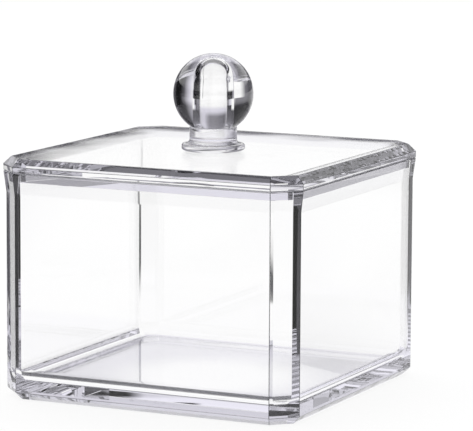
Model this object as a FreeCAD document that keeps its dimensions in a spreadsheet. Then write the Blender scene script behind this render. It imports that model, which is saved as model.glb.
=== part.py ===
"""Clear acrylic box for cotton pads: a chamfered box body, a lift-off lid, and a ball on a stem.

Millimetres, +Z up.  The origin is at the middle of the face that the box stands on.
The front is towards -Y.  Every size is a cell of the sheet "Sizes", and every sketch
and feature reads its size from there through an expression.
"""
import FreeCAD, Part
import math
import os

import Sketcher

ORIGIN_POINT = (-1, 1)
FULL_TURN = 2 * math.pi
START, END, CENTRE = range(1, 4)
LEVEL = 1e-4

# Driving dimensions.  Each one is a cell with an alias in the sheet.
DRIVING = {
    # box body
    "body_width": 95.0,        # across the flat walls, below the flare
    "corner_leg": 7.0,         # leg of the 45 degree corner, at the rim and on the lid
    "rim_height": 67.0,        # from the table to the rim, where the lid seats
    "flare_out": 0.8,          # how far the rim stands out past the walls, each side
    "flare_height": 6.2,       # height over which the wall flares out to the rim
    "bottom_bevel": 2.3,       # bevel round the bottom edge
    "wall": 3.2,               # wall thickness below the flare
    "inner_corner_leg": 4.1,   # leg of the 45 degree corner inside the well
    "floor_thickness": 3.0,    # floor slab
    "foot_height": 2.2,        # how far the foot ring holds the floor slab off the table
    "foot_ring": 5.4,          # width of the foot ring, from the outer wall
    "well_fillet": 3.8,        # radius where the floor turns up into the walls
    "edge_round": 0.35,        # polished round on every outer edge of the pieces
    # lid
    "lid_edge": 2.0,           # height of the upright edge of the lid
    "lid_bevel": 2.25,         # bevel round the top of the lid
    "lip_height": 2.6,         # how far the lid's lip reaches down into the mouth
    "lip_width": 2.2,          # thickness of the lip
    "lip_clearance": 0.3,      # running gap between the lip and the wall
    # stem
    "neck_diameter": 14.2,
    "neck_height": 6.9,        # from the lid to the seat of the ball
    "foot_diameter": 18.9,     # spread foot that is welded to the lid
    "foot_edge": 1.9,          # thickness of the foot's flange
    # ball
    "ball_diameter": 23.9,
    "seat_diameter": 13.4,     # flat under the ball, welded to the stem
    "core_diameter": 8.2,      # blind bore up the middle of the ball
    "crown_wall": 4.0,         # solid above the top of the bore
}

# Sizes worked out from the driving ones.  The sheet keeps the formulas.
DERIVED = {
    "half_body": "=body_width / 2",
    "half_rim": "=body_width / 2 + flare_out",
    "offset_leg": "=2 - sqrt(2)",
    "body_leg": "=corner_leg - offset_leg * flare_out",
    "flare_start": "=rim_height - flare_height",
    "half_well": "=body_width / 2 - wall",
    "half_foot": "=body_width / 2 - foot_ring",
    "foot_leg": "=body_leg - offset_leg * foot_ring",
    "floor_top": "=foot_height + floor_thickness",
    "well_depth": "=rim_height - floor_top",
    "half_lip": "=half_well - lip_clearance",
    "lip_leg": "=inner_corner_leg - offset_leg * lip_clearance",
    "half_lip_inside": "=half_lip - lip_width",
    "lip_leg_inside": "=lip_leg - offset_leg * lip_width",
    "lid_thickness": "=lid_edge + lid_bevel",
    "lid_top": "=rim_height + lid_thickness",
    "ball_radius": "=ball_diameter / 2",
    "neck_radius": "=neck_diameter / 2",
    "foot_radius": "=foot_diameter / 2",
    "core_radius": "=core_diameter / 2",
    "seat_radius": "=seat_diameter / 2",
    "foot_spread": "=foot_radius - neck_radius",
    "sweep_radius": "=foot_spread * 0.6",
    "rim_round": "=min(foot_spread * 0.3; foot_edge * 0.38)",
    "ball_centre": "=neck_height + sqrt(ball_radius * ball_radius - seat_radius * seat_radius)",
    "ball_top": "=ball_centre + ball_radius",
    "core_top": "=ball_top - crown_wall",
    "dome_centre": "=core_top - core_radius",
}

doc = FreeCAD.newDocument("cotton_pad_box")
sheet = doc.addObject("Spreadsheet::Sheet", "Sizes")


def fill_sheet():
    """Write names in column A and values in column B, and give each value its alias."""
    row = 0
    for alias, value in list(DRIVING.items()) + list(DERIVED.items()):
        row += 1
        sheet.set(f"A{row}", alias)
        sheet.set(f"B{row}", str(value))
        sheet.setAlias(f"B{row}", alias)
        doc.recompute()


def size(alias):
    """Return a size from the sheet as a number."""
    value = sheet.get(alias)
    return float(getattr(value, "Value", value))


def origin_plane(body, role):
    """Return one of the body's own origin planes."""
    return next(item for item in body.Origin.OriginFeatures if item.Role == role)


def new_sketch(body, name, role="XY_Plane", height=None):
    """Start a sketch on a plane of the body, raised to a height that the sheet gives."""
    sketch = body.newObject("Sketcher::SketchObject", name)
    sketch.AttachmentSupport = [(origin_plane(body, role), "")]
    sketch.MapMode = "FlatFace"
    if height:
        sketch.setExpression("AttachmentOffset.Base.z", f"Sizes.{height}")
    return sketch


def bind(sketch, kind, first, second, alias, name):
    """Add a dimension from the first point to the second, driven by the sheet."""
    sketch.addConstraint(Sketcher.Constraint(kind, *first, *second, size(alias)))
    index = sketch.ConstraintCount - 1
    sketch.renameConstraint(index, name)
    sketch.setExpression(f"Constraints.{name}", f"Sizes.{alias}")


def add_octagon(sketch, half, leg, tag):
    """Draw a square with 45 degree corners, centred on the origin.

    The first four corners are dimensioned and the other four mirror them through the origin.
    """
    reach = size(half)
    flat = reach - size(leg)
    corners = [(-flat, -reach), (flat, -reach), (reach, -flat), (reach, flat)]
    corners += [(-x, -y) for x, y in corners]
    points = [FreeCAD.Vector(x, y, 0) for x, y in corners]
    edges = []
    for start, end in zip(points, points[1:] + points[:1]):
        edges.append(sketch.addGeometry(Part.LineSegment(start, end), False))
    for edge, following in zip(edges, edges[1:] + edges[:1]):
        sketch.addConstraint(Sketcher.Constraint("Coincident", edge, END, following, START))
    for near, far in zip(edges[:4], edges[4:]):
        sketch.addConstraint(Sketcher.Constraint("Symmetric", near, START, far, START, *ORIGIN_POINT))

    front_left = (edges[0], START)
    front_right = (edges[1], START)
    right_front = (edges[2], START)
    right_back = (edges[3], START)
    flat_length = f"Sizes.{half} - Sizes.{leg}"
    dimensions = [
        ("DistanceX", front_left, ORIGIN_POINT, flat, flat_length),
        ("DistanceY", front_left, ORIGIN_POINT, reach, f"Sizes.{half}"),
        ("DistanceX", ORIGIN_POINT, front_right, flat, flat_length),
        ("DistanceY", front_right, ORIGIN_POINT, reach, f"Sizes.{half}"),
        ("DistanceX", ORIGIN_POINT, right_front, reach, f"Sizes.{half}"),
        ("DistanceY", right_front, ORIGIN_POINT, flat, flat_length),
        ("DistanceX", ORIGIN_POINT, right_back, reach, f"Sizes.{half}"),
        ("DistanceY", ORIGIN_POINT, right_back, flat, flat_length),
    ]
    for number, (kind, first, second, value, formula) in enumerate(dimensions):
        sketch.addConstraint(Sketcher.Constraint(kind, *first, *second, value))
        name = f"{tag}_{number}"
        sketch.renameConstraint(sketch.ConstraintCount - 1, name)
        sketch.setExpression(f"Constraints.{name}", formula)


def octagon_sketch(body, name, half, leg, height=None):
    """Return a sketch with one chamfered square."""
    sketch = new_sketch(body, name, height=height)
    add_octagon(sketch, half, leg, "outline")
    return sketch


def pad(body, name, sketch, length, downwards=False):
    """Extrude a sketch by a length from the sheet."""
    feature = body.newObject("PartDesign::Pad", name)
    feature.Profile = sketch
    feature.setExpression("Length", f"Sizes.{length}")
    feature.Reversed = downwards
    doc.recompute()
    return feature


def pocket(body, name, sketch, depth, upwards=False):
    """Cut a sketch to a depth from the sheet, and make sure that it removed something."""
    before = body.Shape.Volume
    feature = body.newObject("PartDesign::Pocket", name)
    feature.Profile = sketch
    feature.setExpression("Length", f"Sizes.{depth}")
    feature.Reversed = upwards
    doc.recompute()
    if body.Shape.Volume >= before:
        raise RuntimeError(f"{name} cut nothing")
    return feature


def loft(body, name, lower, upper):
    """Join two sketches with flat sides."""
    feature = body.newObject("PartDesign::AdditiveLoft", name)
    feature.Profile = lower
    feature.Sections = [upper]
    feature.Ruled = True
    doc.recompute()
    return feature


def edges_at(feature, height, beyond=0.0):
    """Name the feature's level edges at a height that reach further from the axis than beyond."""
    names = []
    for number, edge in enumerate(feature.Shape.Edges, start=1):
        box = edge.BoundBox
        level = abs(box.ZMin - height) < LEVEL and abs(box.ZMax - height) < LEVEL
        reach = max(box.XMax, -box.XMin, box.YMax, -box.YMin)
        if level and reach > beyond + LEVEL:
            names.append(f"Edge{number}")
    return names


def dress(body, kind, name, base, edges, dimension, alias):
    """Add a fillet or a chamfer to some edges, with its size from the sheet."""
    feature = body.newObject(f"PartDesign::{kind}", name)
    feature.Base = (base, edges)
    feature.setExpression(dimension, f"Sizes.{alias}")
    doc.recompute()
    return feature


def round_edges(body, name, base):
    """Polish every sharp edge of a convex skin to the same small round."""
    edges = [f"Edge{number}" for number in range(1, len(base.Shape.Edges) + 1)]
    return dress(body, "Fillet", name, base, edges, "Radius", "edge_round")


def make_box_body():
    """Mould the box: octagonal block, flared rim, bevelled bottom, well and foot ring."""
    body = doc.addObject("PartDesign::Body", "box_body")
    body.Label = "box_body"

    walls = octagon_sketch(body, "wall_outline", "half_body", "body_leg")
    block = pad(body, "block", walls, "flare_start")

    bottom_edges = edges_at(block, 0.0)
    dress(body, "Chamfer", "bottom_bevel_cut", block, bottom_edges, "Size", "bottom_bevel")

    lower = octagon_sketch(body, "flare_foot", "half_body", "body_leg", "flare_start")
    upper = octagon_sketch(body, "rim_outline", "half_rim", "corner_leg", "rim_height")
    skin = loft(body, "flare", lower, upper)
    round_edges(body, "skin_rounds", skin)

    well_outline = octagon_sketch(body, "well_outline", "half_well", "inner_corner_leg", "rim_height")
    well = pocket(body, "well", well_outline, "well_depth")

    floor_edges = edges_at(well, size("floor_top"))
    dress(body, "Fillet", "well_round", well, floor_edges, "Radius", "well_fillet")

    foot_outline = octagon_sketch(body, "foot_outline", "half_foot", "foot_leg")
    pocket(body, "foot_recess", foot_outline, "foot_height", upwards=True)
    return body


def make_lid():
    """Mould the lid: a bevelled plate as wide as the rim, with a lip that locates it."""
    body = doc.addObject("PartDesign::Body", "lid")
    body.Label = "lid"
    body.setExpression("Placement.Base.z", "Sizes.rim_height")

    plate_outline = octagon_sketch(body, "plate_outline", "half_rim", "corner_leg")
    plate = pad(body, "plate", plate_outline, "lid_thickness")

    top_edges = edges_at(plate, size("lid_thickness"))
    bevel = dress(body, "Chamfer", "top_bevel_cut", plate, top_edges, "Size", "lid_bevel")
    round_edges(body, "plate_rounds", bevel)

    lip_outline = new_sketch(body, "lip_outline")
    add_octagon(lip_outline, "half_lip", "lip_leg", "outside")
    add_octagon(lip_outline, "half_lip_inside", "lip_leg_inside", "inside")
    pad(body, "lip", lip_outline, "lip_height", downwards=True)
    return body


def point(across, up):
    """Return a point of a profile, by its distance from the axis and its height."""
    return FreeCAD.Vector(across, up, 0)


def line(sketch, start, end):
    """Draw a straight side of a profile."""
    return sketch.addGeometry(Part.LineSegment(start, end), False)


def arc(sketch, centre, radius, start, end):
    """Draw an arc about a centre, anticlockwise from start to end."""
    circle = Part.Circle(centre, FreeCAD.Vector(0, 0, 1), radius)
    start_angle = circle.parameter(start)
    end_angle = circle.parameter(end)
    if end_angle < start_angle:
        start_angle -= FULL_TURN
    return sketch.addGeometry(Part.ArcOfCircle(circle, start_angle, end_angle), False)


def constrain(sketch, kind, *items):
    """Add a constraint of one kind for each item."""
    for item in items:
        sketch.addConstraint(Sketcher.Constraint(kind, *item))


def add_stem_profile(sketch):
    """Draw half of the stem's section: flange, sweep and neck."""
    foot = size("foot_radius")
    edge = size("foot_edge")
    radius = size("sweep_radius")
    neck = size("neck_radius")
    neck_top = size("neck_height")
    across, up = neck + radius, edge + radius

    base = line(sketch, point(0, 0), point(foot, 0))
    rim = line(sketch, point(foot, 0), point(foot, edge))
    shelf = line(sketch, point(foot, edge), point(across, edge))
    sweep = arc(sketch, point(across, up), radius, point(neck, up), point(across, edge))
    column = line(sketch, point(neck, up), point(neck, neck_top))
    cap = line(sketch, point(neck, neck_top), point(0, neck_top))
    axis = line(sketch, point(0, neck_top), point(0, 0))

    constrain(sketch, "Coincident", (base, END, rim, START), (rim, END, shelf, START),
              (shelf, END, sweep, END), (sweep, START, column, START), (column, END, cap, START),
              (cap, END, axis, START), (axis, END, base, START), (base, START, *ORIGIN_POINT))
    constrain(sketch, "Horizontal", (base,), (shelf,), (cap,), (column, START, sweep, CENTRE))
    constrain(sketch, "Vertical", (rim,), (column,), (axis,), (shelf, END, sweep, CENTRE))

    bind(sketch, "DistanceX", ORIGIN_POINT, (rim, START), "foot_radius", "foot")
    bind(sketch, "DistanceY", ORIGIN_POINT, (rim, END), "foot_edge", "edge")
    bind(sketch, "DistanceX", ORIGIN_POINT, (column, END), "neck_radius", "neck")
    bind(sketch, "DistanceY", ORIGIN_POINT, (column, END), "neck_height", "neck_top")
    bind(sketch, "Radius", (sweep,), (), "sweep_radius", "sweep")


def add_ball_profile(sketch):
    """Draw half of the ball's section: seat, ball, and the blind bore with its dome."""
    seat_height = size("neck_height")
    seat_edge = size("seat_radius")
    ball_centre = size("ball_centre")
    ball_top = size("ball_top")
    core = size("core_radius")
    core_top = size("core_top")
    dome_centre = size("dome_centre")

    seat = line(sketch, point(core, seat_height), point(seat_edge, seat_height))
    ball = arc(sketch, point(0, ball_centre), size("ball_radius"),
               point(seat_edge, seat_height), point(0, ball_top))
    crown = line(sketch, point(0, ball_top), point(0, core_top))
    dome = arc(sketch, point(0, dome_centre), core, point(core, dome_centre), point(0, core_top))
    bore = line(sketch, point(core, dome_centre), point(core, seat_height))

    constrain(sketch, "Coincident", (seat, END, ball, START), (ball, END, crown, START),
              (crown, END, dome, END), (dome, START, bore, START), (bore, END, seat, START))
    constrain(sketch, "Horizontal", (seat,), (dome, START, dome, CENTRE))
    constrain(sketch, "Vertical", (crown,), (bore,))
    constrain(sketch, "PointOnObject", (ball, CENTRE, -2), (dome, CENTRE, -2), (crown, START, -2))

    bind(sketch, "DistanceY", ORIGIN_POINT, (seat, START), "neck_height", "seat_height")
    bind(sketch, "DistanceX", ORIGIN_POINT, (seat, END), "seat_radius", "seat")
    bind(sketch, "Radius", (ball,), (), "ball_radius", "ball")
    bind(sketch, "DistanceX", ORIGIN_POINT, (bore, END), "core_radius", "core")
    bind(sketch, "DistanceY", ORIGIN_POINT, (dome, CENTRE), "dome_centre", "dome_centre")


def turn(name, draw):
    """Turn a profile about the upright axis, from the middle of the lid's top."""
    body = doc.addObject("PartDesign::Body", name)
    body.Label = name
    body.setExpression("Placement.Base.z", "Sizes.lid_top")
    profile = new_sketch(body, f"{name}_profile", role="XZ_Plane")
    draw(profile)
    turned = body.newObject("PartDesign::Revolution", f"{name}_turned")
    turned.Profile = profile
    turned.ReferenceAxis = (profile, ["V_Axis"])
    turned.Angle = 360
    doc.recompute()
    return body, turned


def make_knob_stem():
    """Turn the stem: a flange with a rounded rim, welded to the lid, and a solid neck."""
    body, turned = turn("knob_stem", add_stem_profile)
    sweep_reach = size("neck_radius") + size("sweep_radius")
    rims = edges_at(turned, 0.0) + edges_at(turned, size("foot_edge"), sweep_reach)
    rounded = dress(body, "Fillet", "rim_rounds", turned, rims, "Radius", "rim_round")
    neck_edge = edges_at(rounded, size("neck_height"))
    dress(body, "Fillet", "neck_edge_round", rounded, neck_edge, "Radius", "edge_round")
    return body


def make_knob_ball():
    """Turn the ball: bored from below, and flat where it sits on the stem."""
    body, turned = turn("knob_ball", add_ball_profile)
    seat_edge = edges_at(turned, size("neck_height"), size("core_radius"))
    dress(body, "Fillet", "seat_edge_round", turned, seat_edge, "Radius", "edge_round")
    return body


def check_document(bodies):
    """Stop if any object failed to compute or any sub-part is not a valid solid."""
    for item in doc.Objects:
        if "Invalid" in item.State or "Error" in item.State:
            raise RuntimeError(f"{item.Name} failed: {item.State}")
    for body in bodies:
        shape = body.Shape
        if shape.isNull() or not shape.isValid() or len(shape.Solids) != 1:
            raise RuntimeError(f"{body.Label} is not one valid solid")


def main():
    fill_sheet()
    bodies = [make_box_body(), make_lid(), make_knob_stem(), make_knob_ball()]
    doc.recompute()
    check_document(bodies)
    os.makedirs("parts", exist_ok=True)
    for body in bodies:
        body.Shape.exportStep(f"parts/{body.Label}.step")
        box = body.Shape.BoundBox
        volume = body.Shape.Volume / 1000
        print(f"{body.Label}: z {box.ZMin:.2f} to {box.ZMax:.2f}, width {box.XLength:.2f}, {volume:.1f} cm3")


main()
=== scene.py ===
# %% [markdown]
# # A clear acrylic box with a lid and a ball knob
#
# The box holds round cotton pads. It is made of four acrylic parts: the box
# itself, a lid with a lip that drops inside the rim, and a knob of two parts,
# a turned stem and a ball, which is welded to the middle of the lid.
#
# The construction model already has the right shapes, so this lesson keeps
# them. What is left is what makes clear plastic look real: the finish of each
# part, and a studio that gives it dark edges on a white ground. We start by
# loading the parts and noting their size.

import math

import bmesh
import bpy
from mathutils import Matrix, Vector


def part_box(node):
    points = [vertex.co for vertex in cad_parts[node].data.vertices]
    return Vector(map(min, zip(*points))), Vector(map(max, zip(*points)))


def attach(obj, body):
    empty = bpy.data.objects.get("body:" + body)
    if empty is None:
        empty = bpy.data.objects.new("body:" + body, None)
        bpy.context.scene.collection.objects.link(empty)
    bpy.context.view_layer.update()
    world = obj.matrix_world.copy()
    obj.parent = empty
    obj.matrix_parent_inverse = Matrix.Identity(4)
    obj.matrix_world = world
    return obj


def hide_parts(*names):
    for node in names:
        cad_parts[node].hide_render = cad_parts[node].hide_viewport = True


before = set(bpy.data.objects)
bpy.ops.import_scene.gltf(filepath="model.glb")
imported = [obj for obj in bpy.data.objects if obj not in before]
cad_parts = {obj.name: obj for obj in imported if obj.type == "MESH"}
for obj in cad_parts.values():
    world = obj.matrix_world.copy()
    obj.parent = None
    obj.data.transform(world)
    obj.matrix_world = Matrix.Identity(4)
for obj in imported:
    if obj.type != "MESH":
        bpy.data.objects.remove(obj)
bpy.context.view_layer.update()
scene = bpy.context.scene

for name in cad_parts:
    low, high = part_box(name)
    print(name, "from", [round(v * 1000, 1) for v in low],
          "to", [round(v * 1000, 1) for v in high], "mm")

# %% [markdown]
# ## The camera
#
# The box is seen from a little above and from its front right corner, from
# nearly a metre away through a long lens, so its upright edges stay almost
# parallel. We place the camera by its distance, the side it stands on and its
# height, and turn it with three angles. Building the matrix by hand keeps
# every number readable, which a "look at" constraint would hide.

# %% Set up the camera
IMAGE_WIDTH = 473            # pixels
FOCAL_LENGTH = 3172.4        # pixels
CAMERA_SIDE = 26.005         # degrees round from the front of the box
CAMERA_DISTANCE = 0.93795    # metres along the floor
CAMERA_HEIGHT = 0.19087      # metres
CAMERA_PAN = -0.430          # degrees
CAMERA_TILT = 8.459          # degrees downwards
CAMERA_ROLL = 0.287          # degrees

camera = bpy.data.objects.new("camera", bpy.data.cameras.new("camera"))
scene.collection.objects.link(camera)
camera.data.sensor_width = 36.0
camera.data.lens = FOCAL_LENGTH / IMAGE_WIDTH * camera.data.sensor_width

side = math.radians(CAMERA_SIDE)
place = Matrix.Translation((math.sin(side) * CAMERA_DISTANCE,
                            -math.cos(side) * CAMERA_DISTANCE, CAMERA_HEIGHT))
pan = Matrix.Rotation(math.radians(CAMERA_SIDE + CAMERA_PAN), 4, "Z")
tilt = Matrix.Rotation(math.radians(90.0 - CAMERA_TILT), 4, "X")
roll = Matrix.Rotation(math.radians(CAMERA_ROLL), 4, "Z")
camera.matrix_world = place @ pan @ tilt @ roll
scene.camera = camera
print("lens", round(camera.data.lens, 1), "mm")

# %% [markdown]
# ## How far a ray may travel
#
# In a clear box a ray of light crosses many walls, and inside an edge it may
# bounce from face to face a dozen times before it gets out. Where the renderer
# gives up, the edge turns dead black. So we allow more bounces than usual, and
# pick the plain view transform, in which a colour shows as it is written.

# %% Allow long paths
scene.view_settings.view_transform = "Standard"
scene.cycles.max_bounces = 40
scene.cycles.transmission_bounces = 32
scene.cycles.glossy_bounces = 28
scene.cycles.transparent_max_bounces = 16
print("bounces", scene.cycles.max_bounces)

# %% [markdown]
# ## Small helpers for node trees
#
# Every material below is a short chain of nodes. These helpers add a node, and
# feed each of its inputs either with a number or with another node's output,
# so a chain reads like a formula. Dragging nodes in the editor makes the same
# trees, but a formula is easier to read again later.

# %% Node helpers
def feed(tree, socket, value):
    """Link an output to a socket, or write a plain value on it."""
    if isinstance(value, bpy.types.NodeSocket):
        tree.links.new(value, socket)
    else:
        socket.default_value = value


def add(tree, kind, settings=None, **inputs):
    """Add a node, set its properties, and feed its inputs by name."""
    node = tree.nodes.new(kind)
    for key, value in (settings or {}).items():
        setattr(node, key, value)
    for key, value in inputs.items():
        feed(tree, node.inputs[key.replace("_", " ")], value)
    return node


def calc(tree, operation, a, b=0.0, c=0.0):
    """One Math node, and its result."""
    node = tree.nodes.new("ShaderNodeMath")
    node.operation = operation
    for socket, value in zip(node.inputs, (a, b, c)):
        feed(tree, socket, value)
    return node.outputs[0]


def ramp(tree, value, start, end, low=0.0, high=1.0):
    """A smooth step: low below start, high above end."""
    node = add(tree, "ShaderNodeMapRange", {"interpolation_type": "SMOOTHSTEP"},
               Value=value, From_Min=start, From_Max=end, To_Min=low, To_Max=high)
    return node.outputs["Result"]


def blend(tree, amount, first, second):
    """Mix two colours."""
    node = tree.nodes.new("ShaderNodeMix")
    node.data_type = "RGBA"
    feed(tree, node.inputs["Factor"], amount)
    colours = [s for s in node.inputs if s.type == "RGBA"]
    feed(tree, colours[0], first)
    feed(tree, colours[1], second)
    return [s for s in node.outputs if s.type == "RGBA"][0]


print("helpers: feed, add, calc, ramp, blend")

# %% [markdown]
# ## The studio
#
# Glassware is often shown on a white ground with dark cards round it: a wall
# that is looked straight through stays white, and an edge that gathers light
# from the sides turns dark and draws the shape. We get that look from the path
# that a ray has taken. The Light Path node counts how often a ray was thrown
# back (Glossy Depth) and how many faces it has crossed (Transmission Depth).
# From the two counts we tell eight kinds of ray apart:
#
# - mirrored: glanced off an outer face and never went in;
# - lens: crossed one solid, as through the ball;
# - straight: crossed two walls or more, and layered: three or more;
# - turned: thrown back once inside one solid;
# - well: thrown back once on its way through the hollow box;
# - edge: thrown back twice or more, and trapped: seven times or more.
#
# The sorting doesn't depend on where the camera stands, so the box has drawn
# edges from every side. The cards that the rays see are another matter: they
# stand where they suit one view, and draw the edges best from there.

# %% Sort the rays by what they have been through
def flag(tree, *conditions):
    """All of these conditions at once."""
    result = conditions[0]
    for condition in conditions[1:]:
        result = calc(tree, "MULTIPLY", result, condition)
    return result


def history(tree):
    """Sort rays by how often they were thrown back and how many faces they crossed."""
    path = tree.nodes.new("ShaderNodeLightPath")
    throws = path.outputs["Glossy Depth"]
    crossings = path.outputs["Transmission Depth"]
    never = calc(tree, "LESS_THAN", throws, 0.5)
    once = calc(tree, "COMPARE", throws, 1.0, 0.5)
    outside = calc(tree, "LESS_THAN", crossings, 0.5)
    one_solid = calc(tree, "COMPARE", crossings, 2.0, 0.5)
    deeper = calc(tree, "GREATER_THAN", crossings, 2.5)
    layered = calc(tree, "GREATER_THAN", crossings, 4.5)
    return {
        "mirrored": flag(tree, once, outside),
        "lens": flag(tree, never, one_solid),
        "straight": flag(tree, never, deeper),
        "layered": flag(tree, never, layered),
        "turned": flag(tree, once, one_solid),
        "well": flag(tree, once, deeper),
        "edge": calc(tree, "GREATER_THAN", throws, 1.5),
        "trapped": calc(tree, "GREATER_THAN", throws, 6.5),
    }


def choose(tree, rays, views):
    """Put each kind of ray's own view over a plain white one."""
    result = WHITE
    for kind, view in views.items():
        result = blend(tree, rays[kind], result, view)
    return result


def sine(degrees):
    """The height of a direction, as its z, from its angle above the level."""
    return math.sin(math.radians(degrees))


print("rays sorted by Glossy Depth and Transmission Depth")

# %% [markdown]
# ## Cards to stand round the box
#
# In a studio, clear things get their lines from cards, sheets of white, grey or
# black board that stand round them. Each tone below is one kind of card. A row
# of cards is a colour ramp over the angle round the box, counted from the
# middle card of the row. The middle card stands straight beyond the box as the
# camera of this scene sees it, and the rows suit that view. They don't turn
# with a camera that moves. A row repeats every half turn, so the box is drawn
# much the same from the front and from behind, and less well from its sides.
# Real boards can't do all of this: they would stand in the lamp's way, and each
# ray would see the same ones.

# %% Cut the cards
def tone(value):
    """A grey that leans a little to lavender, as a card in a white room does."""
    return (value, value * 0.98, min(value * 1.10, 1.0), 1.0)


WHITE = (1.0, 1.0, 1.0, 1.0)
BLACK = tone(0.004)
CHARCOAL = tone(0.03)
SLATE = tone(0.10)
GREY = tone(0.20)
MIST = tone(0.38)
PALE = tone(0.65)
# Painted shade: the sheet as trapped rays see it, near black.
TRAPPED_FLOOR_SHADE = tone(0.06)            # what trapped rays see of the floor
SHADE = tone(0.18)           # and of the world
HAZE = tone(0.72)            # the room above the horizon
# Painted shade: the sheet close to the box, a little darker than white for rays through the
# plastic.
PAPER_IN_PAINTED_SHADE = tone(0.85)           # the sheet close to the box
CARD_TURN = 116.0            # degrees, from +X to the middle card, the way the camera looks


def stand_cards(tree, position):
    """Give the angle of a direction to the right of the middle card, and its height.

    The cards repeat every half turn, so the angle runs from -90 to 90 degrees. It is
    returned as 0 to 1, ready for a colour ramp.
    """
    x, y, z = add(tree, "ShaderNodeSeparateXYZ", Vector=position).outputs
    heading = calc(tree, "SUBTRACT", math.radians(CARD_TURN), calc(tree, "ARCTAN2", y, x))
    angle = calc(tree, "WRAP", heading, math.radians(90), math.radians(-90))
    return calc(tree, "MULTIPLY_ADD", angle, 1 / math.pi, 0.5), z


def far_side(tree, position):
    """1 beyond the box, seen along the middle card, and 0 on the near side."""
    x, y, _ = add(tree, "ShaderNodeSeparateXYZ", Vector=position).outputs
    middle = math.radians(CARD_TURN)
    along = calc(tree, "ADD", calc(tree, "MULTIPLY", x, math.cos(middle)),
                 calc(tree, "MULTIPLY", y, math.sin(middle)))
    return calc(tree, "GREATER_THAN", along, 0.0)


def row(tree, angle, *cards):
    """A row of cards: each is an angle in degrees and a tone, with soft joins between.

    The two ends of the row meet a quarter turn from the middle, in the mean of their tones.
    """
    meeting = tuple((a + b) / 2 for a, b in zip(cards[0][1], cards[-1][1]))
    cards = ((-90, meeting),) + cards + ((90, meeting),)
    node = tree.nodes.new("ShaderNodeValToRGB")
    stops = node.color_ramp.elements
    while len(stops) < len(cards):
        stops.new(1.0)
    for stop, (degrees, _) in zip(stops, cards):
        stop.position = degrees / 180 + 0.5
    for stop, (_, colour) in zip(stops, cards):
        stop.color = colour
    feed(tree, node.inputs[0], angle)
    return node.outputs[0]


def stack(tree, value, first, *steps):
    """Go from one view to the next as a value rises: each step is start, end and view."""
    result = first
    for start, end, view in steps:
        result = blend(tree, ramp(tree, value, start, end), result, view)
    return result


def climb(tree, up, first, *steps):
    """The same for a direction's height, with the starts and ends in degrees."""
    return stack(tree, up, first, *((sine(a), sine(b), view) for a, b, view in steps))


print("cards repeat every half turn, the middle one stands at", CARD_TURN, "degrees")

# %% [markdown]
# ## The world, as each kind of ray sees it
#
# Each kind of ray has rows of its own, and where it looks higher up one row
# goes over into the next. A studio would need a new set of boards for every
# ray, so the world shader does it: it has no size, throws no shadow and is
# never in the way.

# %% Start the world
world = bpy.data.worlds.new("white studio")
world.use_nodes = True
scene.world = world
tree = world.node_tree
tree.nodes.clear()
direction = tree.nodes.new("ShaderNodeTexCoord").outputs["Generated"]
angle, up = stand_cards(tree, direction)
far = far_side(tree, direction)

# %% [markdown]
# ## Cards for the ball and the walls
#
# Rays through the ball (lens) see white in the middle and black at the sides,
# which gives a clear ball its dark flanks. Rays that were thrown back once, in
# a wall (turned) or across the well, see dark cards on the left and pale ones
# on the right, so the two sides of the box are told apart. The number in a
# name is a height in degrees: the first row of each kind stands alone up to
# it, and every later row from about there on.

# %% Stand the cards for the ball and the walls
lens_1 = row(tree, angle, (-70, GREY), (-50, SLATE), (-38, GREY), (-24, GREY), (-16, WHITE),
             (18, WHITE), (26, PALE), (34, GREY), (42, BLACK), (58, BLACK), (66, SLATE))
lens_10 = row(tree, angle, (-72, GREY), (-62, BLACK), (-17, BLACK), (-13, WHITE),
              (18, WHITE), (24, MIST), (34, CHARCOAL), (42, BLACK), (58, BLACK), (66, SLATE))
lens = climb(tree, up, lens_1, (1, 10, lens_10))

turned_5 = row(tree, angle, (-60, GREY), (-50, SLATE), (-34, CHARCOAL), (-26, PALE),
               (-12, WHITE), (32, WHITE), (45, PALE), (60, PALE), (72, GREY))
turned_7 = row(tree, angle, (-60, GREY), (-50, SLATE), (-42, MIST), (-34, PALE),
               (-12, WHITE), (34, WHITE), (42, CHARCOAL), (80, CHARCOAL))
turned = climb(tree, up, turned_5, (5, 6.5, turned_7), (9, 14, tone(0.08)))
turned = blend(tree, far, CHARCOAL, turned)

well_25 = row(tree, angle, (-72, PALE), (-52, SLATE), (-36, CHARCOAL), (-24, PALE),
              (-10, WHITE), (45, WHITE), (58, PALE))
well = climb(tree, up, well_25, (25, 40, PALE))
print("cards for the ball and the walls stand")

# %% [markdown]
# ## Cards for the edges
#
# A bevelled edge gathers light from many sides at once. Narrow black cards
# between pale ones draw the thin dark lines there, and each line wants its card
# at its own height, so five rows stand above each other. A ray that can't get
# out of an edge (trapped) sees a plain shade, with a pale card on the near side.

# %% Stand the cards for the edges
edge_4 = row(tree, angle, (-60, GREY), (-36, SLATE), (-20, PALE), (-6, WHITE), (4, WHITE),
             (15, MIST), (30, PALE), (60, PALE), (75, GREY))
edge_6 = row(tree, angle, (-60, GREY), (-44, PALE), (-10, WHITE), (4, WHITE), (12, MIST),
             (26, GREY), (44, MIST), (52, BLACK), (60, BLACK), (75, GREY))
edge_10 = row(tree, angle, (-46, PALE), (-33, PALE), (-28, CHARCOAL), (-18, BLACK),
              (-4, PALE), (6, PALE), (18, SLATE), (38, BLACK), (43, PALE), (58, PALE),
              (66, GREY))
edge_16 = row(tree, angle, (-50, MIST), (-12, PALE), (22, PALE), (32, MIST), (52, SLATE),
              (60, SLATE), (75, MIST))
edge_32 = row(tree, angle, (-20, PALE), (-2, PALE), (5, CHARCOAL), (45, CHARCOAL),
              (56, MIST), (75, PALE))
edge = climb(tree, up, edge_4, (4, 6, edge_6), (8.5, 9.5, edge_10), (13, 16, edge_16),
             (28, 32, edge_32), (42, 50, PALE))

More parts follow.
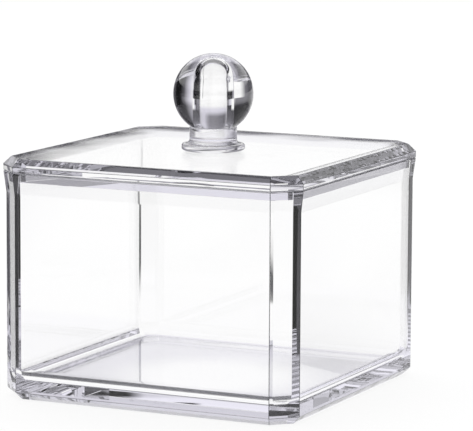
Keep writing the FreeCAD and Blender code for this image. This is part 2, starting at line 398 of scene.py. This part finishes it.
near_trapped = row(tree, angle, (-86, SHADE), (-80, PALE), (-16, PALE), (-8, SHADE))
trapped = climb(tree, up, blend(tree, far, near_trapped, SHADE), (12, 50, tone(0.50)))
print("cards for the edges stand")

# %% [markdown]
# ## One large card for the glare on the lid
#
# Rays that glance off an outer face (mirrored) see one large white card. Its
# lower edge leans, and what lies under it is dark. Mirrored in the lid it
# leaves a dark band along the left edge and a thin line along the back edge,
# and is white between. The lean works only near the middle of the row, and low
# down to the sides the card ends, so the rim of the ball stays dark.

# %% Lean the white card
CARD_EDGES = (               # slope, and two heights in degrees between which it turns white
    (0.27, 6.42, 6.70),      # along the lid's left edge
    (-0.06, 6.89, 7.00),     # along the lid's back edge
)
LEAN_REACH = 7 / 180         # the slopes reach 7 degrees from the middle
CARD_SIDES = (8 / 180, 16 / 180)

leaning = calc(tree, "MINIMUM", calc(tree, "MAXIMUM", angle, 0.5 - LEAN_REACH),
               0.5 + LEAN_REACH)
mirrored = WHITE
for slope, start, end in CARD_EDGES:
    lean = calc(tree, "MULTIPLY_ADD", leaning, slope * math.pi, -slope * math.pi / 2)
    height = calc(tree, "ADD", lean, calc(tree, "ARCSINE", up))
    mirrored = blend(tree, ramp(tree, height, math.radians(start), math.radians(end)),
                     CHARCOAL, mirrored)
aside = calc(tree, "ABSOLUTE", calc(tree, "SUBTRACT", angle, 0.5))
low_aside = flag(tree, ramp(tree, aside, *CARD_SIDES),
                 ramp(tree, up, sine(10), sine(11.5), 1.0, 0.0))
mirrored = blend(tree, low_aside, mirrored, CHARCOAL)
mirrored = climb(tree, up, mirrored, (24, 36, CHARCOAL))
print("white card leans by", [slope for slope, _, _ in CARD_EDGES])

# %% [markdown]
# ## Hang the views in the world
#
# Rays that went straight through see a white room, which turns to lavender and
# then to grey higher up. A dictionary keeps one view for each kind of ray, and
# the Background node gets the one that fits.

# %% Hang the views
sky_18 = row(tree, angle, (-20, PALE), (-12, MIST), (-5, GREY), (25, SLATE))
views = {
    "mirrored": mirrored,
    "lens": lens,
    "straight": climb(tree, up, WHITE, (5, 10, HAZE), (10, 18, sky_18), (35, 50, GREY)),
    "layered": climb(tree, up, tone(0.28), (17, 23, WHITE)),
    "turned": turned,
    "well": well,
    "edge": edge,
    "trapped": trapped,
}
background = add(tree, "ShaderNodeBackground", Color=choose(tree, history(tree), views),
                 Strength=1.0)
add(tree, "ShaderNodeOutputWorld", Surface=background.outputs[0])
print("world ready with", len(views), "views")

# %% [markdown]
# ## The floor
#
# The box stands on a plain white sheet. The sheet is a matt surface lit by the
# lamp and the room, so the box's shadow falls on it. For the eye, and for rays
# that come through the plastic, part of it glows at up to exactly white, which
# lifts the sheet to the white of the ground and leaves the shadow as a faint
# tone.

# %% Lay the floor
FLOOR_REACH = 4.0            # metres
floor_mesh = bpy.data.meshes.new("floor")
r = FLOOR_REACH
floor_mesh.from_pydata([(-r, -r, 0), (r, -r, 0), (r, r, 0), (-r, r, 0)], [], [(0, 1, 2, 3)])
floor = bpy.data.objects.new("floor", floor_mesh)
scene.collection.objects.link(floor)

paper = bpy.data.materials.new("white paper")
paper.use_nodes = True
floor_mesh.materials.append(paper)
tree = paper.node_tree
tree.nodes.clear()
matt = add(tree, "ShaderNodeBsdfDiffuse", Color=(0.9, 0.9, 0.9, 1.0))
place = tree.nodes.new("ShaderNodeTexCoord").outputs["Object"]
away = add(tree, "ShaderNodeVectorMath", {"operation": "LENGTH"}).outputs["Value"]
tree.links.new(place, away.node.inputs[0])
angle, _ = stand_cards(tree, place)
far = far_side(tree, place)
print("floor", 2 * FLOOR_REACH, "m across")

# %% [markdown]
# ## The floor, straight through the walls
#
# Looked at straight through the walls, the sheet is white. Under the box it
# has a painted pool of light in the middle and a painted lavender shade towards
# the walls. One narrow dark card is painted on the sheet beyond the box, as
# painted shade for the line down its far corner, where all the light comes from
# one direction. That works for the camera's own view: from further round to the
# right the card shows as a dark smudge through the lid.
# Rays through more than two walls (layered) see darker cards to both sides.

# %% Colour the floor for straight rays
# Painted light and shade on the sheet under the box: a white pool in the middle, and a lavender
# shade towards the walls.
WELL_HALF = (0.042, 0.048)   # metres, from the middle to where the pool ends
PAINTED_POOL = (0.014, 0.040)        # metres, from white to the lavender tone

x, y, _ = add(tree, "ShaderNodeSeparateXYZ", Vector=place).outputs
shade_under_box_mask = calc(tree, "MAXIMUM", calc(tree, "ABSOLUTE", x), calc(tree, "ABSOLUTE", y))
shade_under_box_mask = flag(tree, ramp(tree, shade_under_box_mask, *WELL_HALF, 1.0, 0.0), ramp(tree, away, *PAINTED_POOL))
painted_shade_under_box = row(tree, angle, (-60, tone(0.62)), (30, tone(0.72)), (55, tone(0.45)))
# A dark card painted on the sheet beyond the box: painted shade for the line down the far
# corner.
painted_corner_shade = row(tree, angle, (-31.3, WHITE), (-30.8, BLACK), (-29.2, BLACK), (-28.7, WHITE))
straight = blend(tree, shade_under_box_mask, WHITE, painted_shade_under_box)
straight = blend(tree, flag(tree, far, ramp(tree, away, 0.136, 0.148)), straight, painted_corner_shade)

layered_100 = row(tree, angle, (-42, BLACK), (-33, SLATE), (-24, PALE), (-18, WHITE),
                  (15, WHITE), (24, MIST), (34, SLATE), (44, BLACK))
layered_1600 = row(tree, angle, (-5, BLACK), (-2, PALE), (35, PALE), (45, BLACK))
layered = stack(tree, away, PALE, (0.07, 0.10, layered_100), (0.22, 0.32, tone(0.76)),
                (1.2, 1.6, layered_1600))
print("straight and layered rays have their floor")

# %% [markdown]
# ## The floor, for rays that were thrown back
#
# The other kinds of ray see the sheet bright close to the box, and dark further
# off, where dark cards are painted on the sheet in rings, as painted shade that
# the plastic shows in its walls and edges. The number in a name is the distance
# in millimetres from which that ring stands alone. Rays that glanced off the box,
# or turned in a wall, see their cards on the far side only, so the front of the
# box stays white.

# %% Colour the floor for the other rays
# Painted shade: each row below is a ring of dark cards painted on the sheet's glow.
lens_120 = row(tree, angle, (-80, GREY), (-52, SLATE), (-40, GREY), (-30, WHITE),
               (18, WHITE), (25, PALE), (34, SLATE), (42, BLACK), (58, BLACK), (66, SLATE))
mirrored_80 = row(tree, angle, (-78, MIST), (-62, CHARCOAL), (-22, CHARCOAL), (-6, MIST),
                  (10, WHITE), (80, WHITE))
turned_90 = row(tree, angle, (-80, SLATE), (-70, BLACK), (-18, BLACK), (-6, MIST),
                (10, WHITE), (62, WHITE), (80, GREY))
turned_600 = row(tree, angle, (-10, BLACK), (0, MIST), (20, MIST), (30, CHARCOAL))
turned = stack(tree, away, PAPER_IN_PAINTED_SHADE, (0.05, 0.09, turned_90), (0.42, 0.60, turned_600))
well_100 = row(tree, angle, (-60, PALE), (-50, PALE), (-40, CHARCOAL), (-22, CHARCOAL),
               (-10, PALE), (4, WHITE), (48, WHITE), (54, PALE), (62, WHITE))

edge_50 = row(tree, angle, (-5, PAPER_IN_PAINTED_SHADE), (-2, BLACK), (9, BLACK), (12, PAPER_IN_PAINTED_SHADE))
edge_74 = row(tree, angle, (-85, SLATE), (-62, CHARCOAL), (-52, PALE), (-17, PALE),
              (-13, BLACK), (-8, BLACK), (-4, PALE), (6, PALE), (12, GREY), (26, GREY),
              (38, PALE))
edge_160 = row(tree, angle, (-85, BLACK), (-50, SLATE), (-38, GREY), (-28, PALE),
               (-6, WHITE), (13, WHITE), (17, SLATE), (40, SLATE), (52, PALE), (66, MIST))
edge_480 = row(tree, angle, (-50, SLATE), (-28, PALE), (-6, WHITE), (28, WHITE),
               (34, SLATE), (52, PALE))
near_trapped = row(tree, angle, (-86, TRAPPED_FLOOR_SHADE), (-80, PALE), (-36, PALE), (-30, TRAPPED_FLOOR_SHADE))
trapped = blend(tree, far, near_trapped, TRAPPED_FLOOR_SHADE)

views = {
    "mirrored": blend(tree, flag(tree, far, ramp(tree, away, 0.05, 0.08)), WHITE, mirrored_80),
    "lens": stack(tree, away, PALE, (0.06, 0.12, lens_120)),
    "straight": straight,
    "layered": layered,
    "turned": blend(tree, far, WHITE, turned),
    "well": stack(tree, away, PAPER_IN_PAINTED_SHADE, (0.05, 0.10, well_100), (0.8, 1.2, layered_1600)),
    "edge": stack(tree, away, PAPER_IN_PAINTED_SHADE, (0.046, 0.050, edge_50), (0.0622, 0.0634, PAPER_IN_PAINTED_SHADE),
                  (0.068, 0.074, edge_74), (0.10, 0.16, edge_160), (0.38, 0.48, edge_480)),
    "trapped": stack(tree, away, tone(0.55), (0.05, 0.10, trapped)),
}
print("floor has", len(views), "views")

# %% [markdown]
# ## Mix the paper with its glow
#
# Is Camera Ray, Is Transmission Ray and Is Glossy Ray say for whom the sheet
# glows. For the eye a tenth of the matt paper stays, and with it the shadow.
# Light that bounces off the sheet onto the box comes from the matt paper alone.

# %% Mix the paper with its glow
EYE_SHARE = 0.9              # how much of what the eye sees is the glow
glow = add(tree, "ShaderNodeEmission", Strength=1.0, Color=choose(tree, history(tree), views))
path = tree.nodes.new("ShaderNodeLightPath")
through = calc(tree, "MAXIMUM", path.outputs["Is Transmission Ray"],
               path.outputs["Is Glossy Ray"])
seen = calc(tree, "MULTIPLY", path.outputs["Is Camera Ray"], EYE_SHARE)
surface = tree.nodes.new("ShaderNodeMixShader")
feed(tree, surface.inputs[0], calc(tree, "MAXIMUM", seen, through))
feed(tree, surface.inputs[1], matt.outputs[0])
feed(tree, surface.inputs[2], glow.outputs[0])
add(tree, "ShaderNodeOutputMaterial", Surface=surface.outputs[0])
print("glow seen by the eye:", EYE_SHARE)

# %% [markdown]
# ## One soft lamp
#
# A large soft box hangs above and a little behind the box. It is big for its
# distance, so the shadow it throws has no edge. Rays that pass through the
# plastic don't see it, which keeps its outline out of the walls.

# %% Hang the lamp
LAMP_WIDTH, LAMP_DEPTH = 1.0, 0.7        # metres
LAMP_POWER = 8.0                         # watts
LAMP_PLACE = (-0.3, 0.5, 1.3)            # metres

soft_box = bpy.data.lights.new("soft box", "AREA")
soft_box.shape = "RECTANGLE"
soft_box.size = LAMP_WIDTH
soft_box.size_y = LAMP_DEPTH
soft_box.energy = LAMP_POWER
lamp = bpy.data.objects.new("soft box", soft_box)
scene.collection.objects.link(lamp)
lamp.location = LAMP_PLACE
to_the_box = -lamp.location
lamp.rotation_euler = to_the_box.to_track_quat("-Z", "Y").to_euler()
lamp.visible_transmission = False
print("lamp", soft_box.energy, "W")

# %% [markdown]
# ## Clear acrylic
#
# Acrylic is a clear plastic that bends light a little less than window glass.
# Polished parts have almost no roughness, but they are never perfect: the
# faces ripple a little where the melt cooled, and handling leaves hair-fine
# scratches. The ripple comes from a slow noise as a bump, the scratches from a
# noise stretched long and thin that raises the roughness by a trace.

# %% A recipe for acrylic
ACRYLIC_IOR = 1.49
RIPPLE_SCALE = 32.0          # ripples in a metre
RIPPLE_HEIGHT = 0.001        # metres
RIPPLE_STRENGTH = 0.03
HAIR_SCALE = 260.0           # hairs in a metre, along their length
HAIR_STRETCH = 14.0          # how much thinner than long they are
HAIR_RANGE = (0.66, 0.74)    # the noise between which a scratch begins and is full
HAIR_ROUGHNESS = 0.05


def clear_acrylic(name, scratch_turn):
    """A material of clear acrylic, with scratches that run their own way."""
    material = bpy.data.materials.new(name)
    material.use_nodes = True
    tree = material.node_tree
    shader = tree.nodes["Principled BSDF"]
    place = tree.nodes.new("ShaderNodeTexCoord").outputs["Object"]

    slow = add(tree, "ShaderNodeTexNoise", Vector=place, Scale=RIPPLE_SCALE, Detail=1.0)
    bump = add(tree, "ShaderNodeBump", Height=slow.outputs[0], Strength=RIPPLE_STRENGTH,
               Distance=RIPPLE_HEIGHT)
    feed(tree, shader.inputs["Normal"], bump.outputs[0])

    turned = add(tree, "ShaderNodeMapping", Vector=place, Rotation=scratch_turn,
                 Scale=(1.0, HAIR_STRETCH, HAIR_STRETCH))
    hair = add(tree, "ShaderNodeTexNoise", Vector=turned.outputs[0], Scale=HAIR_SCALE,
               Detail=4.0)
    scratch = ramp(tree, hair.outputs[0], *HAIR_RANGE, 0.0, HAIR_ROUGHNESS)
    feed(tree, shader.inputs["Roughness"], scratch)

    shader.inputs["Base Color"].default_value = WHITE
    shader.inputs["IOR"].default_value = ACRYLIC_IOR
    shader.inputs["Transmission Weight"].default_value = 1.0
    return material, tree, shader, place


box_finish, box_tree, box_shader, box_place = clear_acrylic("box acrylic", (0.3, 0.8, 0.5))
lid_finish, lid_tree, lid_shader, lid_place = clear_acrylic("lid acrylic", (0.9, 0.2, 1.1))
stem_finish, stem_tree, stem_shader, stem_place = clear_acrylic("stem acrylic", (0.4, 1.2, 0.2))
ball_finish, ball_tree, ball_shader, ball_place = clear_acrylic("ball acrylic", (1.0, 0.3, 0.7))
print("four clear finishes, each bends light by", ACRYLIC_IOR)

# %% [markdown]
# ## Paint shade on the small rounds along the edges
#
# Between two flat faces of the box and of the lid runs a round of a fraction of
# a millimetre. Here each round is painted near black as painted shade, so that
# it reads as a thin dark line; clear acrylic itself has no such dark colour. The
# flat faces look in steps of 45 degrees, so wherever a face looks in between, it
# belongs to a round. That can be told from the Normal alone, which is cheaper
# than painting a map.

# %% Paint shade on the small rounds
HALF_STEP = math.radians(22.5)           # half the turn between two flat faces
TURN_RANGE = (2, 5)                      # degrees off a flat face, round the box
LEAN_RANGE = (9, 12)                     # degrees off a flat face, up and down
LYING_FLAT = 0.9                         # the z of a normal that points up or down
# Painted shade on the rounds: how much of each round it covers, and its near-black tone.
PAINTED_EDGE_STRENGTH = 0.95
PAINTED_EDGE_SHADE = (0.002, 0.003, 0.006, 1.0)


def off_face(tree, heading, span):
    """How far a heading is from the nearest flat face, from 0 to 1 over a span of degrees."""
    off = calc(tree, "PINGPONG", heading, HALF_STEP)
    return ramp(tree, off, math.radians(span[0]), math.radians(span[1]))


def paint_edge_shade(tree, shader, place):
    """Paint dark shade on the rounds that look outwards."""
    normal = tree.nodes.new("ShaderNodeNewGeometry").outputs["Normal"]
    nx, ny, nz = add(tree, "ShaderNodeSeparateXYZ", Vector=normal).outputs
    x, y, _ = add(tree, "ShaderNodeSeparateXYZ", Vector=place).outputs
    upright = calc(tree, "LESS_THAN", calc(tree, "ABSOLUTE", nz), LYING_FLAT)
    turn = flag(tree, off_face(tree, calc(tree, "ARCTAN2", ny, nx), TURN_RANGE), upright)
    lean = off_face(tree, calc(tree, "ARCSINE", nz), LEAN_RANGE)
    outward = calc(tree, "GREATER_THAN", calc(tree, "ADD", calc(tree, "MULTIPLY", x, nx),
                                              calc(tree, "MULTIPLY", y, ny)), 0.0)
    # Where the painted shade lies: on the rounds that look outwards.
    edge = flag(tree, calc(tree, "MAXIMUM", turn, lean), outward, PAINTED_EDGE_STRENGTH)
    feed(tree, shader.inputs["Base Color"], blend(tree, edge, WHITE, PAINTED_EDGE_SHADE))


paint_edge_shade(box_tree, box_shader, box_place)
paint_edge_shade(lid_tree, lid_shader, lid_place)
print("edges of box and lid drawn")

# %% [markdown]
# ## The welds
#
# The stem is welded to the lid, and the ball to the stem, so light goes from
# one into the other with no air between them. Where they touch, both faces
# have to vanish. We make them plainly transparent over the welded ring, which
# neither bends nor mirrors. The knob also vanishes for rays that glance off
# the lid, so that the white glare on the lid stays even.

# %% Weld the knob together
FOOT_WELD = 0.00870          # metres, radius of the flat under the stem's foot
SEAT_WELD = 0.00640          # metres, radius of the flat under the ball
BORE = 0.00410               # metres, radius of the ball's bore
WELD_BAND = 0.00002          # metres, above and below the welded face
WHOLE_DISC = -1.0            # an inner radius that leaves nothing out


def weld(tree, shader, place, welds, mirrored=True):
    """Make the surface vanish over some rings, each given by height, inner and outer radius."""
    x, y, z = add(tree, "ShaderNodeSeparateXYZ", Vector=place).outputs
    radius = calc(tree, "SQRT", calc(tree, "ADD", calc(tree, "MULTIPLY", x, x),
                                     calc(tree, "MULTIPLY", y, y)))
    joined = 0.0
    for height, inner, outer in welds:
        ring = flag(tree, calc(tree, "COMPARE", z, height, WELD_BAND),
                    calc(tree, "LESS_THAN", radius, outer),
                    calc(tree, "GREATER_THAN", radius, inner))
        joined = calc(tree, "MAXIMUM", joined, ring)
    if not mirrored:
        joined = calc(tree, "MAXIMUM", joined, history(tree)["mirrored"])
    clear = tree.nodes.new("ShaderNodeBsdfTransparent")
    surface = tree.nodes.new("ShaderNodeMixShader")
    feed(tree, surface.inputs[0], joined)
    feed(tree, surface.inputs[1], shader.outputs[0])
    feed(tree, surface.inputs[2], clear.outputs[0])
    feed(tree, tree.nodes["Material Output"].inputs["Surface"], surface.outputs[0])


foot_weld = (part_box("knob_stem")[0][2], WHOLE_DISC, FOOT_WELD)
seat_weld = (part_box("knob_ball")[0][2], BORE, SEAT_WELD)
weld(lid_tree, lid_shader, lid_place, [foot_weld])
weld(stem_tree, stem_shader, stem_place, [foot_weld, seat_weld], mirrored=False)
weld(ball_tree, ball_shader, ball_place, [seat_weld], mirrored=False)
print("welds at", [round(w[0] * 1000, 2) for w in (foot_weld, seat_weld)], "mm")

# %% [markdown]
# ## A hair of air under the lid
#
# The lid lies on the rim of the box, so two clear faces share exactly one
# plane. The renderer can't tell which of them comes first, and the ring turns
# black. A real lid never lies that close. We copy the lid's mesh, merge its
# loose triangles into one closed skin with the same shading, and raise the
# face it rests on by a few hundredths of a millimetre.

# %% Lift the lid by a hair
HAIR = 0.00003               # metres
SEAT_BAND = 0.0005           # metres, above and below the rim
SAME_POINT = 0.0000001       # metres
SEAT_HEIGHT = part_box("box_body")[1][2]

lid_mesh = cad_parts["lid"].data.copy()
shading = lid_mesh.attributes.new("shading", "FLOAT_VECTOR", "CORNER")
for corner, normal in zip(shading.data, lid_mesh.corner_normals):
    corner.vector = normal.vector
skin = bmesh.new()
skin.from_mesh(lid_mesh)
loose = len(skin.verts)
bmesh.ops.remove_doubles(skin, verts=skin.verts, dist=SAME_POINT)
for vertex in skin.verts:
    if abs(vertex.co.z - SEAT_HEIGHT) < SEAT_BAND:
        vertex.co.z += HAIR
open_edges = sum(not edge.is_manifold for edge in skin.edges)
skin.to_mesh(lid_mesh)
skin.free()
shading = [tuple(corner.vector) for corner in lid_mesh.attributes["shading"].data]
lid_mesh.normals_split_custom_set(shading)
lid_mesh.attributes.remove(lid_mesh.attributes["shading"])
print("lid merged from", loose, "to", len(lid_mesh.vertices), "points, with", open_edges,
      "open edges")
clear_lid = bpy.data.objects.new("clear_lid", lid_mesh)
scene.collection.objects.link(clear_lid)
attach(clear_lid, "lid")
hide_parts("lid")

# %% [markdown]
# ## Dress the parts
#
# Every part wears an acrylic of its own, because each was moulded or turned
# apart and its ripple and scratches run their own way. The finish goes into
# the slot that each mesh already has.

# %% Put the finishes on
for thing, finish in ((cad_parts["box_body"], box_finish), (clear_lid, lid_finish),
                      (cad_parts["knob_stem"], stem_finish),
                      (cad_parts["knob_ball"], ball_finish)):
    for slot in thing.material_slots:
        slot.material = finish
    print(thing.name, "wears", finish.name)
